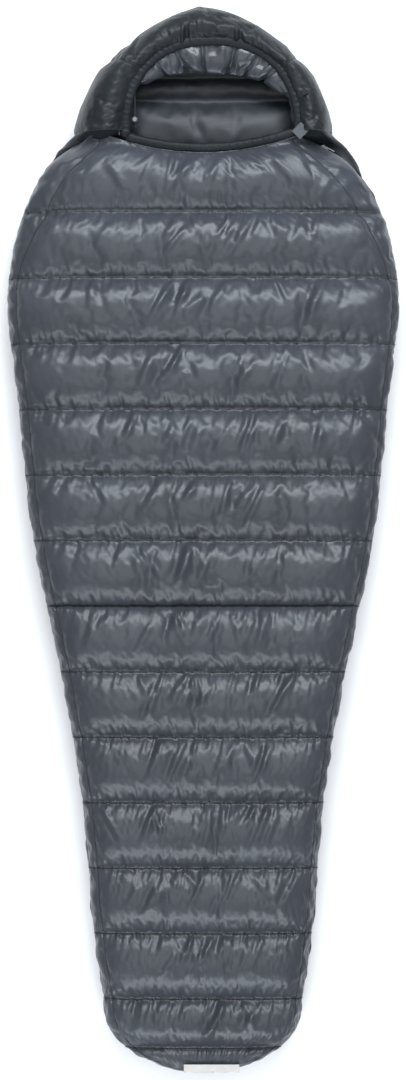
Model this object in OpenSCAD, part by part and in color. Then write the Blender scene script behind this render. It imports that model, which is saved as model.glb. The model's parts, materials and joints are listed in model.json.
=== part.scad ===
// Mummy sleeping bag lying flat and zipped up. Millimetres.
// +Y points to the head, +X to the zip side, +Z up. The origin is on the ground, on the centre line.
// Soft parts are lofts through cross-sections; hardware is cylinders, plates and swept arcs.

/* [Body] */
// Y of the foot end where the sides start to round into the toe
toe_start_y = -900; // [-920:1:-890]
// Length of the rounded toe
toe_len = 127; // [120:1:130]
// Half-width where the toe starts
toe_half_w = 190; // [180:1:195]
// Half-width at the widest place, below the shoulders
shoulder_half_w = 377; // [370:1:380]
// Height of the highest chambers above the ground
loft = 146; // [142:1:146]
// Height of the chambers at the foot
foot_loft = 120; // [116:1:126]
// Height of the side seam and the zip above the ground
seam_z = 62; // [60:1:64]

/* [Quilting] */
// Y of the first cross seam below the neck
first_seam_y = 629.5; // [627:0.5:632]
// Length of one chamber
chamber_len = 126; // [125.5:0.1:126.5]
// Number of cross seams
seam_count = 13; // [13:1:13]
// How far a cross seam dips below the crests beside it
seam_dip = 18; // [12:1:20]
// Loft of the top quilt as a share of the height of the bag
top_share = 0.25; // [0.23:0.01:0.26]
// Loft of the bottom quilt as a share of the height of the bag
bottom_share = 0.17; // [0.15:0.01:0.18]
// Thickness of one layer of cloth with its seam allowance
cloth_t = 0.8; // [0.6:0.1:0.9]

/* [Neck and hood] */
// Y of the neck edge of the top quilt
neck_y = 745; // [743:1:746]
// Y of the head end of the bottom quilt, where the hood is sewn on
nape_y = 787; // [785:1:788]
// Half-width of the hood at the nape
hood_half_w = 247; // [244:1:250]
// Length of the hood from the nape to its peak
hood_len = 235; // [232:1:236]
// Half-width of the face opening
face_half_w = 162.5; // [160:0.5:164]
// Length of the face opening above the nape
face_len = 158; // [155:1:160]
// Sideways offset of the face opening
face_x = 17.5; // [15:0.5:18]
// Height of the rim of the face opening
rim_z = 124; // [122:1:126]

/* [Zip] */
// Radius of the zip's bend around the shoulder
zip_bend_r = 232; // [230:1:233]
// Centre of that bend, X
zip_bend_x = 126; // [125:1:127]
// Centre of that bend, Y
zip_bend_y = 550; // [549:1:551]
// Lean of the straight side run of the zip, degrees
zip_lean = 7.42; // [7.3:0.02:7.5]
// Length of the straight side run of the zip
zip_side_len = 1120; // [1110:1:1125]
// Angle of the zip's neck end around the shoulder bend
zip_neck_angle = 66; // [65:0.5:67]
// Parking angle of the upper slider
upper_slider_angle = 62.4; // [62:0.1:62.8]
// Half-height of the groove that the zip lies in
zip_groove = 8; // [7.6:0.1:8.4]

/* [Flap] */
// Neck end of the fold line of the flap, X
fold_neck_x = -165; // [-168:1:-160]
// Slope of the fold line, X per unit of Y towards the foot
fold_slope = 0.2835; // [0.28:0.0005:0.285]
// Y of the foot tip of the flap
flap_tip_y = -596; // [-598:1:-594]

/* [Hidden] */

eps = 0.6;           // clearance between two layers
edge_t = 3;          // thickness of a quilt along its outline
side_gap = 1;        // half-height of the plain side seam
flat_share = 0.88;   // share of the half-width inside which the quilts stand apart
columns = 7;         // columns of points across a quilt
seams = [neck_y, for (k = [0:seam_count - 1]) first_seam_y - k * chamber_len, toe_start_y - toe_len + 7];
zip_out = [cos(zip_lean), -sin(zip_lean)];
zip_bend = [zip_bend_x, zip_bend_y];
zip_turn = zip_bend + zip_bend_r * zip_out;
side_stations = [[toe_start_y, toe_half_w], [-752, 211], [-503, 233], [-257, 274], [12, 329],
                 [277, 358], [464, shoulder_half_w], [601, 356], [712, 310], [791, hood_half_w]];

// ---- curves -------------------------------------------------------------------------------

function slope(p, i) = let (a = max(i - 1, 0), b = min(i + 1, len(p) - 1))
    (p[b][1] - p[a][1]) / (p[b][0] - p[a][0]);
function span(p, x, i = 0) = (i >= len(p) - 2 || x < p[i + 1][0]) ? i : span(p, x, i + 1);
// Smooth curve through stations [position, value]
function curve(p, x) = let (i = span(p, x), h = p[i + 1][0] - p[i][0],
                            t = min(max((x - p[i][0]) / h, 0), 1))
    (2 * t^3 - 3 * t^2 + 1) * p[i][1] + (t^3 - 2 * t^2 + t) * h * slope(p, i)
    + (3 * t^2 - 2 * t^3) * p[i + 1][1] + (t^3 - t^2) * h * slope(p, i + 1);
function toe(y) = y > toe_start_y ? 1 : sqrt(max(1 - ((toe_start_y - y) / toe_len)^2, 0.01));
// Half-width of the bottom quilt and of the top quilt, which ends in the shoulder bend
function half_w(y) = y < toe_start_y ? toe_half_w * toe(y) : curve(side_stations, y);
function top_half_w(y) = y < 620 ? half_w(y)
    : min(half_w(y), zip_bend_x + sqrt(zip_bend_r^2 - (y - zip_bend_y)^2));
function fold_x(y) = fold_neck_x + (neck_y - y) * fold_slope;
function superellipse(centre, a, b, n, t) = centre + [a * sign(cos(t)) * abs(cos(t))^(2 / n),
                                                     b * sign(sin(t)) * abs(sin(t))^(2 / n)];

// ---- quilt heights ------------------------------------------------------------------------

function seam_above(y, k = 0) = (k >= len(seams) - 2 || y > seams[k + 1]) ? k : seam_above(y, k + 1);
// 0 on a cross seam, 1 in the middle of a chamber
function puff(y) = let (k = seam_above(y), t = (seams[k] - y) / (seams[k] - seams[k + 1]))
    sqrt(max(sin(180 * min(max(t, 0), 1)), 0));
function bag_h(y) = y >= 0 ? loft - (y > first_seam_y ? 14 * ((y - first_seam_y) / 116)^2 : 0)
    : loft + (foot_loft - loft) * min(y / toe_start_y, 1);
// Cross profile of an outer face, and of the inner face that meets it in the flat margin
function outer_arch(s) = (1 - min(abs(s), 1)^4)^(1 / 3);
function inner_arch(s) = (1 - min(abs(s) / flat_share, 1)^4)^(1 / 3);
function gap(s, y) = side_gap + (y > flap_tip_y - 0.5 ? (zip_groove - side_gap) * min(max(2 * s, 0), 1) : 0);
function toe_drop(y) = toe(y)^0.8;

function top_face(x, y) = let (s = x / half_w(y), z0 = seam_z + gap(s, y) + edge_t)
    z0 + (bag_h(y) - seam_dip * (1 - puff(y)) - z0) * outer_arch(s) * toe_drop(y);
function top_liner_face(x, y) = let (s = x / half_w(y), z0 = seam_z + gap(s, y))
    z0 + (bag_h(y) * (1 - top_share) - z0) * inner_arch(s) * toe_drop(y);
function bottom_face(x, y) = let (s = x / half_w(y), z0 = seam_z - gap(s, y) - edge_t)
    max(z0 * (1 - outer_arch(s) * toe_drop(y)) - 2, 0) + 6 * max(1 - puff(y) / 0.87, 0) * outer_arch(s);
function bottom_liner_face(x, y) = let (s = x / half_w(y), z0 = seam_z - gap(s, y))
    z0 - (z0 - bag_h(y) * bottom_share) * inner_arch(s) * toe_drop(y);

// ---- lofts --------------------------------------------------------------------------------

// Flat end of a loft, as strips between the first half of its points and the second half
function cap(m) = [for (j = [0:floor((m - 3) / 2)])
    j + 1 == m - 2 - j ? [j, j + 1, j + 2] : [j, j + 1, m - 2 - j, m - 1 - j]];

// Closed solid through sections that all have the same number of points. A section runs out over the
// first half of its points and back over the second, and the quads of both halves split the same way,
// so that the two faces of a thin layer stay parallel.
module loft_through(sections) {
    n = len(sections);
    m = len(sections[0]);
    polyhedron(
        points = [for (s = sections) each s],
        faces = [
            for (c = cap(m)) [for (i = [len(c) - 1:-1:0]) c[i]],
            for (c = cap(m)) [for (i = c) (n - 1) * m + i],
            for (i = [0:n - 2], j = [0:m - 1]) let (a = i * m + j, b = i * m + (j + 1) % m)
                each j < m / 2 ? [[a, b, b + m], [a, b + m, a + m]] : [[a, b, a + m], [b, b + m, a + m]]
        ],
        convexity = 8);
}

function across(a, b, kind) = [for (i = [0:columns]) let (t = i / columns)
    a + (b - a) * (kind == "both" ? (1 - cos(180 * t)) / 2 : sin(90 * t))];

// A part of a quilt: its left and right edges, and where the columns crowd together
function bottom_span(y) = across(-half_w(y), half_w(y), "both");
function side_span(y) = let (below = y < flap_tip_y)
    across(-top_half_w(y), below ? top_half_w(y) : fold_x(y) - 1, "both");
function flap_span(y) = across(fold_x(y) + 1, top_half_w(y), "right");
function span_x(part, y) = part == "bottom" ? bottom_span(y) : part == "side" ? side_span(y) : flap_span(y);

// Upper and lower height of a layer
function layer_z(part, layer, x, y) = let (
        low = part == "bottom" ? bottom_face(x, y) : top_liner_face(x, y),
        high = part == "bottom" ? bottom_liner_face(x, y) : top_face(x, y),
        skin = cloth_t + eps)
    layer == "fill" ? [low + skin, high - skin]
    : layer == "under" ? [low, low + cloth_t] : [high - cloth_t, high];

function section(part, layer, y) = let (xs = span_x(part, y)) concat(
    [for (x = xs) [x, y, layer_z(part, layer, x, y)[1]]],
    [for (i = [len(xs) - 1:-1:0]) [xs[i], y, layer_z(part, layer, xs[i], y)[0]]]);

function part_seams(part) = part == "flap"
    ? [for (y = seams) if (y > flap_tip_y) y, flap_tip_y]
    : part == "bottom" ? [nape_y, for (k = [1:len(seams) - 1]) seams[k]] : seams;
// Rows of a chamber; the toe has more of them, since its outline is round
function steps(part, k) = part != "flap" && k == len(part_seams(part)) - 2
    ? [0, 0.22, 0.44, 0.64, 0.8, 0.92] : [0, 0.28, 0.72];
function rows(part, k) = let (s = part_seams(part))
    [for (t = steps(part, k)) s[k] + (s[k + 1] - s[k]) * t];

function layer_rows(part) = let (s = part_seams(part))
    [for (k = [0:len(s) - 2]) each rows(part, k), s[len(s) - 1]];

// One layer of cloth of a quilt
module cloth_layer(part, layer) {
    loft_through([for (y = layer_rows(part)) section(part, layer, y)]);
}

// What lies between the layers follows their flat facets: a section at any y is a mix of the sections
// at the two rows beside it.
function row_before(r, y, i = 0) = (i >= len(r) - 2 || y > r[i + 1]) ? i : row_before(r, y, i + 1);
function filling(part, y) = let (
        r = layer_rows(part), i = row_before(r, y), t = (r[i] - y) / (r[i] - r[i + 1]),
        a = section(part, "fill", r[i]), b = section(part, "fill", r[i + 1]))
    [for (j = [0:len(a) - 1]) a[j] + (b[j] - a[j]) * t];
module down_chambers(part) {
    s = part_seams(part);
    for (k = [0:len(s) - 2]) {
        inner = rows(part, k);
        first = s[k] - (k == 0 ? 0 : 0.6);
        last = s[k + 1] + (k == len(s) - 2 ? 0 : 0.6);
        ys = [first, for (i = [1:len(inner) - 1]) inner[i], last];
        loft_through([for (y = ys) filling(part, y)]);
    }
}

module baffle_walls(part) {
    s = part_seams(part);
    for (k = [1:len(s) - 2])
        loft_through([for (y = [s[k] + 0.2, s[k] - 0.2]) filling(part, y)]);
}

// ---- bottom quilt -------------------------------------------------------------------------

module bottom_shell() { color("#3b4043") cloth_layer("bottom", "under"); }
module bottom_down_fill() { color("#e8e6e0") down_chambers("bottom"); }
module bottom_baffles() { color("#b9bcc0") baffle_walls("bottom"); }
module bottom_liner() { color("#54585d") cloth_layer("bottom", "over"); }

// ---- top quilt: the part that stays, and the flap that folds open -----------------------------

module side_top_shell() { color("#5a5f66") cloth_layer("side", "over"); }
module side_top_down_fill() { color("#e8e6e0") down_chambers("side"); }
module side_top_baffles() { color("#b9bcc0") baffle_walls("side"); }
module side_top_liner() { color("#54585d") cloth_layer("side", "under"); }

module flap_top_shell() { color("#616770") cloth_layer("flap", "over"); }
module flap_top_down_fill() { color("#e8e6e0") down_chambers("flap"); }
module flap_top_baffles() { color("#b9bcc0") baffle_walls("flap"); }
module flap_top_liner() { color("#54585d") cloth_layer("flap", "under"); }

// ---- hood ---------------------------------------------------------------------------------

rim_clear = 10;      // from the middle of the rim's tunnel to the hood beside it
hood_centre = [0, nape_y + 4];
face_centre = [face_x, nape_y + 8];
function hood_edge(t) = superellipse(hood_centre, hood_half_w, hood_len, 1.65, t);
function face_edge(t) = superellipse(face_centre, face_half_w, face_len, 2.3, t);
// Point at share q of the way from the outer side of the rim to the outline of the hood
function hood_point(t, q, z) = let (
        d = hood_edge(t) - face_edge(t), start = face_edge(t) + d / norm(d) * rim_clear,
        p = start + (hood_edge(t) - start) * q) [p.x, p.y, z];

// Cross-section of the hood's side, [share of the way out, height]: outer face, then inner face
hood_outer = [[0.05, 118], [0.22, 138], [0.5, loft], [0.78, 122], [1, 62], [0.94, 20], [0.78, 0.5]];
hood_inner = [[0.36, 0.5], [0.36, 34], [0.12, 60], [0.02, 95]];
hood_core = [0.48, 70];
hood_turns = [2:8:178];
function shrunk(points, k) = [for (p = points) hood_core + (p - hood_core) * k];
function reversed(v) = [for (i = [len(v) - 1:-1:0]) v[i]];
module hood_loft(outline) {
    loft_through([for (t = hood_turns) [for (p = reversed(outline)) hood_point(t, p[0], p[1])]]);
}

module hood_shell() {
    color("#3f4447") hood_loft(concat(hood_outer, reversed(shrunk(hood_outer, 0.98))));
}
module hood_down_fill() {
    color("#e8e6e0") hood_loft(shrunk(concat(hood_outer, hood_inner), 0.93));
}
module hood_liner() {
    color("#54585d") hood_loft(concat(hood_inner, reversed(shrunk(hood_inner, 0.965))));
}
// Puffed tube under the rim, which closes around the face
module hood_lip_chambers() {
    color("#5b6067") loft_through([for (t = [30:8:150]) let (p = face_edge(t), d = face_centre - p,
            u = d / norm(d)) [for (a = [0:45:315]) let (r = 20 + 17 * cos(a))
                [p.x + u.x * r, p.y + u.y * r, 92 - 17 * sin(a)]]]);
}

module hood_back(z, h, q) {
    outline = [for (t = [3:6:177]) let (p = hood_point(t, q, 0)) [p.x, p.y]];
    translate([0, 0, z]) linear_extrude(h) polygon(outline);
}
module hood_back_shell() { color("#3b4043") hood_back(0, cloth_t, 0.3); }
module hood_back_down_fill() { color("#e8e6e0") hood_back(1, 28.5, 0.26); }
module hood_back_liner() { color("#54585d") hood_back(29.6, cloth_t, 0.28); }

// ---- rims, drawcords and their locks --------------------------------------------------------

rim_r = 8;
rim_wall = 1.2;
cord_r = 1.6;
// Tube around a path that lies flat: section points turn about the path's own direction
function ring_at(path, i, pts) = let (
        a = path[max(i - 1, 0)], b = path[min(i + 1, len(path) - 1)], d = (b - a) / norm(b - a),
        side = [d.y, -d.x, 0])
    [for (p = pts) path[i] + side * p[0] + [0, 0, p[1]]];
module sweep_flat(path, pts) { loft_through([for (i = [0:len(path) - 1]) ring_at(path, i, pts)]); }
function circle_points(r, n) = [for (i = [0:n - 1]) r * [cos(360 * i / n), sin(360 * i / n)]];
// Open tunnel: a thick C whose slit faces down
tunnel_points = concat(
    [for (i = [0:8]) rim_r * [cos(-75 + 330 * i / 8), sin(-75 + 330 * i / 8)]],
    [for (i = [8:-1:0]) (rim_r - rim_wall) * [cos(-75 + 330 * i / 8), sin(-75 + 330 * i / 8)]]);

rim_path = [for (t = [1:7:183]) let (p = face_edge(t)) [p.x, p.y, rim_z]];
neck_path = [for (x = [-112:17.2:146]) [x, neck_y + 10 + 24 * (x / 165)^2, rim_z - 6]];
module hood_rim_tunnel() { color("#34383b") sweep_flat(rim_path, tunnel_points); }
module neck_rim_tunnel() { color("#34383b") sweep_flat(neck_path, tunnel_points); }

lock_r = 6.5;
lock_h = 17;
lock_bore_r = 4.6;
knot_r = 4;

// Straight end of a cord that runs along +Y from `start` to a knot
module cord_tail(start, tail) {
    translate(start) rotate([-90, 0, 0]) cylinder(r = cord_r, h = tail, $fn = 32);
    translate(start + [0, tail + 2, 0]) sphere(r = knot_r, $fn = 32);
}
// Barrel that grips a cord running along Y: cross hole, spring well and plunger well
module cord_lock_body(at) {
    translate(at) difference() {
        translate([0, 0, -lock_h / 2]) cylinder(r = lock_r, h = lock_h, $fn = 48);
        translate([0, 0, -lock_h / 2 + 2]) cylinder(r = lock_bore_r, h = lock_h, $fn = 48);
        rotate([90, 0, 0]) cylinder(r = 2.4, h = 4 * lock_r, center = true, $fn = 32);
    }
}
module cord_lock_spring(at) {
    turns = 4;
    translate(at + [0, 0, -lock_h / 2 + 2.3]) for (k = [0:turns - 1])
        translate([0, 0, k * 1.1]) rotate_extrude($fn = 32) translate([3.2, 0.4]) circle(r = 0.4, $fn = 16);
}
module cord_lock_button(at) {
    translate(at) difference() {
        union() {
            translate([0, 0, -1.8]) cylinder(r = lock_bore_r - 0.15, h = lock_h / 2 + 5.8, $fn = 48);
            translate([0, 0, lock_h / 2 + 4]) cylinder(r1 = 5.2, r2 = 4.2, h = 1.6, $fn = 48);
        }
        hull() for (z = [0, 4.4]) translate([0, 0, z]) rotate([90, 0, 0])
            cylinder(r = 1.75, h = 4 * lock_r, center = true, $fn = 32);
    }
}

hood_lock_at = [face_x - face_half_w + 14, nape_y + 20, 98];
module hood_drawcord() {
    color("#26292b") {
        sweep_flat(rim_path, circle_points(cord_r, 8));
        cord_tail(hood_lock_at + [0, -14, 0], 72);
    }
}
module hood_cord_lock() { color("#2b2e30") cord_lock_body(hood_lock_at); }
module hood_cord_lock_spring() { color("#c4c7ca") cord_lock_spring(hood_lock_at); }
module hood_cord_lock_button() { color("#9aa0a6") cord_lock_button(hood_lock_at); }

collar_y = neck_y - 42;
collar_z = 88;
collar_r = 15;
collar_path = [for (x = [-104:20:156]) [x, collar_y + 16 * (x / 165)^2, collar_z]];
module draft_collar() {
    color("#5b6067") sweep_flat(collar_path, [for (p = circle_points(collar_r, 10)) [p[0] * 1.3, p[1] - 4]]);
}
collar_lock_at = [176, collar_y + 46, 80];
module collar_drawcord() {
    color("#26292b") {
        sweep_flat([[158, collar_y + 15, 80], [168, collar_y + 17, 80], collar_lock_at + [0, -20, 0]],
                   circle_points(cord_r, 8));
        cord_tail(collar_lock_at + [0, -20, 0], 34);
    }
}
module collar_cord_lock() { color("#2b2e30") cord_lock_body(collar_lock_at); }
module collar_cord_lock_spring() { color("#c4c7ca") cord_lock_spring(collar_lock_at); }
module collar_cord_lock_button() { color("#9aa0a6") cord_lock_button(collar_lock_at); }

// ---- zip ----------------------------------------------------------------------------------

tooth_gap = 1.1;     // from the zip's centre line to the nearer side of a tooth row
tooth_h = 2.3;
tooth_w = 3;
tape_w = 3.6;
tape_t = 0.8;
slider_half = 8;
park = 2.6;          // degrees of the shoulder bend that a parked slider covers, to one side

// Strip along the zip, between an angle of the bend and a length of the side run.
// `low` and `high` are heights from the zip's centre line and `w` is the width across it.
module along_zip(from_angle, side_len, low, high, w) {
    translate([zip_bend_x, zip_bend_y, seam_z]) rotate(-zip_lean)
        rotate_extrude(angle = from_angle + zip_lean, $fn = 180)
            translate([zip_bend_r - w / 2, low]) square([w, high - low]);
    translate([zip_turn.x, zip_turn.y, seam_z]) rotate(-zip_lean)
        translate([-w / 2, -side_len, low]) cube([w, side_len + 0.2, high - low]);
}
module zip_tape_bag() {
    color("#2a2d2f") along_zip(zip_neck_angle, zip_side_len, -tooth_gap - tooth_h - eps - tape_w,
                               -tooth_gap - tooth_h - eps, tape_t);
}
module zip_teeth_bag() {
    color("#3a3d40") along_zip(zip_neck_angle, zip_side_len, -tooth_gap - tooth_h, -tooth_gap, tooth_w);
}
flap_zip_len = zip_side_len - 2 * slider_half - 16;
flap_zip_angle = upper_slider_angle - park;
module zip_tape_flap() {
    color("#2a2d2f") along_zip(flap_zip_angle, flap_zip_len, tooth_gap + tooth_h + eps,
                               tooth_gap + tooth_h + eps + tape_w, tape_t);
}
module zip_teeth_flap() {
    color("#3a3d40") along_zip(flap_zip_angle, flap_zip_len, tooth_gap, tooth_gap + tooth_h, tooth_w);
}

// Frame on the zip: X outward, Y along it towards the neck, Z up
module at_bend(angle) {
    translate([zip_bend_x, zip_bend_y, seam_z]) rotate(angle) translate([zip_bend_r, 0, 0]) children();
}
module at_side(len_down) {
    translate([zip_turn.x, zip_turn.y, seam_z]) rotate(-zip_lean) translate([0, -len_down, 0]) children();
}
module zip_top_stop() {
    color("#9aa0a6") at_bend(zip_neck_angle + 0.7) translate([-2, -1, -5]) cube([4, 4, 4]);
}
module zip_retainer_box() {
    color("#2b2e30") at_side(zip_side_len + 7) translate([-2.6, -4, -6]) cube([5.2, 10, 7.5]);
}
module zip_insertion_pin() {
    color("#2b2e30") at_side(flap_zip_len + 6.2) translate([-1.1, 0, tooth_gap]) cube([2.2, 6, tooth_h]);
}

pivot_out = 5.4;
// Two plates joined by a wedge, with lips that leave a slot for each tape, and ears for the pull
module slider_body() {
    difference() {
        translate([-3.3, -slider_half, -6]) cube([6.6, 2 * slider_half, 12]);
        translate([-1.9, -slider_half - 1, -4.8]) cube([3.8, 2 * slider_half + 2, 9.6]);
        translate([-0.8, -slider_half - 1, -7]) cube([1.6, 2 * slider_half + 2, 14]);
    }
    translate([-2.2, 0, -0.7]) cube([4.4, 5, 1.4]);
    for (z = [-4.6, 3.2]) difference() {
        translate([3.2, 1.5, z]) cube([4.2, 5, 1.4]);
        translate([pivot_out, 4, z - 1]) cylinder(r = 0.95, h = 4, $fn = 32);
    }
}
// Pin, web and grip that lie back along the slider
module pull_body(len) {
    translate([pivot_out, 4, -4.4]) cylinder(r = 0.85, h = 8.8, $fn = 32);
    difference() {
        translate([pivot_out - 0.8, 4 - len, -2.8]) cube([1.6, len, 5.6]);
        translate([pivot_out, 4 - len + 4.5, 0]) rotate([0, 90, 0])
            cylinder(r = 1.6, h = 4, center = true, $fn = 32);
    }
}
pull_len = 24;
module upper_slider() { color("#7d8388") at_bend(upper_slider_angle) slider_body(); }
module upper_slider_pull() { color("#7d8388") at_bend(upper_slider_angle) pull_body(pull_len); }
lower_slider_len = zip_side_len - slider_half;
module lower_slider() { color("#7d8388") at_side(lower_slider_len) mirror([0, 1, 0]) slider_body(); }
module lower_slider_pull() {
    color("#7d8388") at_side(lower_slider_len) mirror([0, 1, 0]) pull_body(pull_len);
}

draft_r = 14;
module draft_tube() {
    color("#5b6067") at_side(0) translate([-50, 0, 10]) rotate([90, 0, 0])
        cylinder(r = draft_r, h = flap_zip_len - 50, $fn = 32);
}

// ---- small sewn pieces ----------------------------------------------------------------------

tab_at = [178, nape_y - 13, rim_z + 10.4];
module closure_tab() {
    color("#2a2d2f") translate(tab_at) rotate(-45) {
        translate([-11, 0, 0]) cube([22, 24, 1.4]);
        translate([-11, 0, 0.7]) rotate([0, 90, 0]) cylinder(r = 1.2, h = 22, $fn = 32);
    }
}
module closure_patch() {
    color("#2a2d2f") translate(tab_at + [0, 0, -1.4]) rotate(-45) translate([-10, 8, 0]) cube([20, 14, 1]);
}

// Webbing loops under the toe, one on each side, each hanging from a short tail
loop_x = 92;
loop_y = toe_start_y - 100;
loop_z = 9.5;
loop_r = 6;
loop_w = 12;
module foot_hang_loops() {
    color("#2a2d2f") for (side = [-1, 1]) translate([side * loop_x - loop_w / 2, loop_y, loop_z]) {
        rotate([0, 90, 0]) difference() {
            cylinder(r = loop_r + 1.4, h = loop_w, $fn = 48);
            translate([0, 0, -1]) cylinder(r = loop_r, h = loop_w + 2, $fn = 48);
        }
        translate([0, -0.7, loop_r + 0.7]) cube([loop_w, 1.4, 4]);
    }
}
module foot_label() {
    color("#e9e7e2") translate([-37, toe_start_y - toe_len + 3, seam_z + 29])
        rotate([37, 0, 0]) cube([107, 21, 0.6]);
}
module rim_label() {
    color("#d8d6d0") translate([188, nape_y + 60, loft - 0.4]) linear_extrude(0.4)
        polygon([[0, 0], [16, 6], [2, 18]]);
}

bottom_shell();
bottom_down_fill();
bottom_baffles();
bottom_liner();
side_top_shell();
side_top_down_fill();
side_top_baffles();
side_top_liner();
flap_top_shell();
flap_top_down_fill();
flap_top_baffles();
flap_top_liner();
hood_shell();
hood_down_fill();
hood_liner();
hood_lip_chambers();
hood_back_shell();
hood_back_down_fill();
hood_back_liner();
hood_rim_tunnel();
neck_rim_tunnel();
hood_drawcord();
hood_cord_lock();
hood_cord_lock_spring();
hood_cord_lock_button();
draft_collar();
collar_drawcord();
collar_cord_lock();
collar_cord_lock_spring();
collar_cord_lock_button();
draft_tube();
zip_tape_bag();
zip_tape_flap();
zip_teeth_bag();
zip_teeth_flap();
zip_top_stop();
zip_retainer_box();
zip_insertion_pin();
upper_slider();
upper_slider_pull();
lower_slider();
lower_slider_pull();
closure_tab();
closure_patch();
foot_hang_loops();
foot_label();
rim_label();
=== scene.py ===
"""Looks of the mummy sleeping bag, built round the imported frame. Metres, +Y to the head, +Z up."""
import json
import math

import bpy
import numpy as np
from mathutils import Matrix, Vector


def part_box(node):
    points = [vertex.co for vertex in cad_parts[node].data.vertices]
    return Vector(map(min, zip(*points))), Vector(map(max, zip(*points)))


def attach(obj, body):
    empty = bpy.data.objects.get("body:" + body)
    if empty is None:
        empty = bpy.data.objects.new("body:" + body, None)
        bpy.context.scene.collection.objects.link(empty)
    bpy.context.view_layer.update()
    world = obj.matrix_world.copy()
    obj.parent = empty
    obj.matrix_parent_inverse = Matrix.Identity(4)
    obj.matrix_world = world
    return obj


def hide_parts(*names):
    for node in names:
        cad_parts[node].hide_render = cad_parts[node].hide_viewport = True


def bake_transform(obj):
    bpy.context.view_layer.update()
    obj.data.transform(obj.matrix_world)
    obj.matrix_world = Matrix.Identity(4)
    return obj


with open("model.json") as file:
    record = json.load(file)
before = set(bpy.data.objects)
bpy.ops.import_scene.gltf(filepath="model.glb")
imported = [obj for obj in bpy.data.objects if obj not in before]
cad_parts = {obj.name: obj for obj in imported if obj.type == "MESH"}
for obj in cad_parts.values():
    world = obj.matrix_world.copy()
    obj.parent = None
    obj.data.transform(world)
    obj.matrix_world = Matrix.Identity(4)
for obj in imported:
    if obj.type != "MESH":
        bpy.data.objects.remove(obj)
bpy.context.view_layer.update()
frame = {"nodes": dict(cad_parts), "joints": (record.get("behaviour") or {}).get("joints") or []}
nodes = frame["nodes"]
joints = {j["name"]: j for j in frame["joints"]}
rng = np.random.default_rng(7)

# ---- driving dimensions ----

CELL = 0.0068            # cloth cell of the top quilt
LINER_CELL = 0.014       # cloth cell of the liners
SEAM_Z = 0.062           # height of the side seam and of the zip
GROOVE = 0.008           # half-height of the groove that the zip lies in
LOFT = 0.146             # height of the highest chambers
FOOT_LOFT = 0.120
LINER_FLOOR_Z = 0.020    # height of the bottom liner in the middle
SEAM_DIP = 0.027         # depth of a cross seam below the crests
START_PUFF = 0.85        # share of that depth that the chambers have before the simulation
FOLDS_PER_CHAMBER = 14
FIRST_SEAM = 0.6295
CHAMBER = 0.126
SEAM_COUNT = 13
TOE_START = -0.900
TOE_LEN = 0.127
TOE_SEAM = -0.977
TOE_END = -1.0262
NECK_Y = 0.743
CORNER_Y = 0.7755        # where the neck edge meets the shoulder arcs
NAPE_Y = 0.787
YOKE_Y = 0.757           # where the bottom quilt starts to rise to the hood
SHOULDER_Y = 0.620       # where the top quilt leaves the outline for the shoulder arcs

FLAP_TIP_Y = -0.596
BEND_AT = np.array(joints["upper_slider_travel"]["pos_m"])
BEND_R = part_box("zip_tape_bag")[1].x - BEND_AT[0] - 0.0004
LEFT_ARC_R = BEND_R + 0.010
run = np.array(joints["lower_slider_travel"]["axis"])
ZIP_LEAN = math.atan2(run[0], run[1])
ZIP_TURN = BEND_AT[:2] + BEND_R * np.array([math.cos(ZIP_LEAN), -math.sin(ZIP_LEAN)])
ZIP_SIDE_LEN = 1.120
ZIP_NECK_ANGLE = math.radians(66)

SEAMS = [NECK_Y] + [FIRST_SEAM - k * CHAMBER for k in range(SEAM_COUNT)] + [TOE_SEAM, TOE_END]


def smoothstep(t):
    t = np.clip(t, 0, 1)
    return t * t * (3 - 2 * t)


def mix(a, b, t):
    return a + (b - a) * t


# ---- outline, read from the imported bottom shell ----

def outline_stations():
    """Half-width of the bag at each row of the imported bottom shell, with the toe's end added."""
    co = np.array([v.co for v in nodes["bottom_shell"].data.vertices])
    rows = {}
    for x, y, _ in co:
        key = round(float(y), 4)
        rows[key] = max(rows.get(key, 0), abs(float(x)))
    ys = sorted(rows)
    return np.array([TOE_START - TOE_LEN] + ys), np.array([0.0] + [rows[y] for y in ys])


STATION_Y, STATION_W = outline_stations()
# The square of the width is what is interpolated, because it is smooth round an elliptical toe
STATION_W2 = STATION_W ** 2
STATION_SLOPE = np.gradient(STATION_W2, STATION_Y)


def half_w(y):
    y = np.clip(y, STATION_Y[0], STATION_Y[-1])
    i = np.clip(np.searchsorted(STATION_Y, y, side="right") - 1, 0, len(STATION_Y) - 2)
    h = STATION_Y[i + 1] - STATION_Y[i]
    t = (y - STATION_Y[i]) / h
    w2 = ((2 * t**3 - 3 * t**2 + 1) * STATION_W2[i] + (t**3 - 2 * t**2 + t) * h * STATION_SLOPE[i]
          + (3 * t**2 - 2 * t**3) * STATION_W2[i + 1] + (t**3 - t**2) * h * STATION_SLOPE[i + 1])
    return np.sqrt(np.maximum(w2, 1e-6))


def arc_x(y, radius):
    """Distance from the centre line to a shoulder arc at y, on the arc's outer side."""
    return BEND_AT[0] + math.sqrt(max(radius**2 - (y - BEND_AT[1])**2, 0))


def top_half_w(y, radius):
    return float(half_w(y)) if y < SHOULDER_Y else min(float(half_w(y)), arc_x(y, radius))


def zip_x(y):
    """X of the zip at y."""
    if y > ZIP_TURN[1]:
        return arc_x(y, BEND_R)
    return float(ZIP_TURN[0] + (y - ZIP_TURN[1]) * math.tan(ZIP_LEAN))


def toe(y):
    return 1.0 if y > TOE_START else math.sqrt(max(1 - ((TOE_START - y) / TOE_LEN)**2, 0.01))


def bag_h(y):
    if y >= 0:
        return LOFT - (0.014 * ((y - FIRST_SEAM) / 0.116)**2 if y > FIRST_SEAM else 0)
    return LOFT + (FOOT_LOFT - LOFT) * min(y / TOE_START, 1)


# ---- mesh helpers ----

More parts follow.
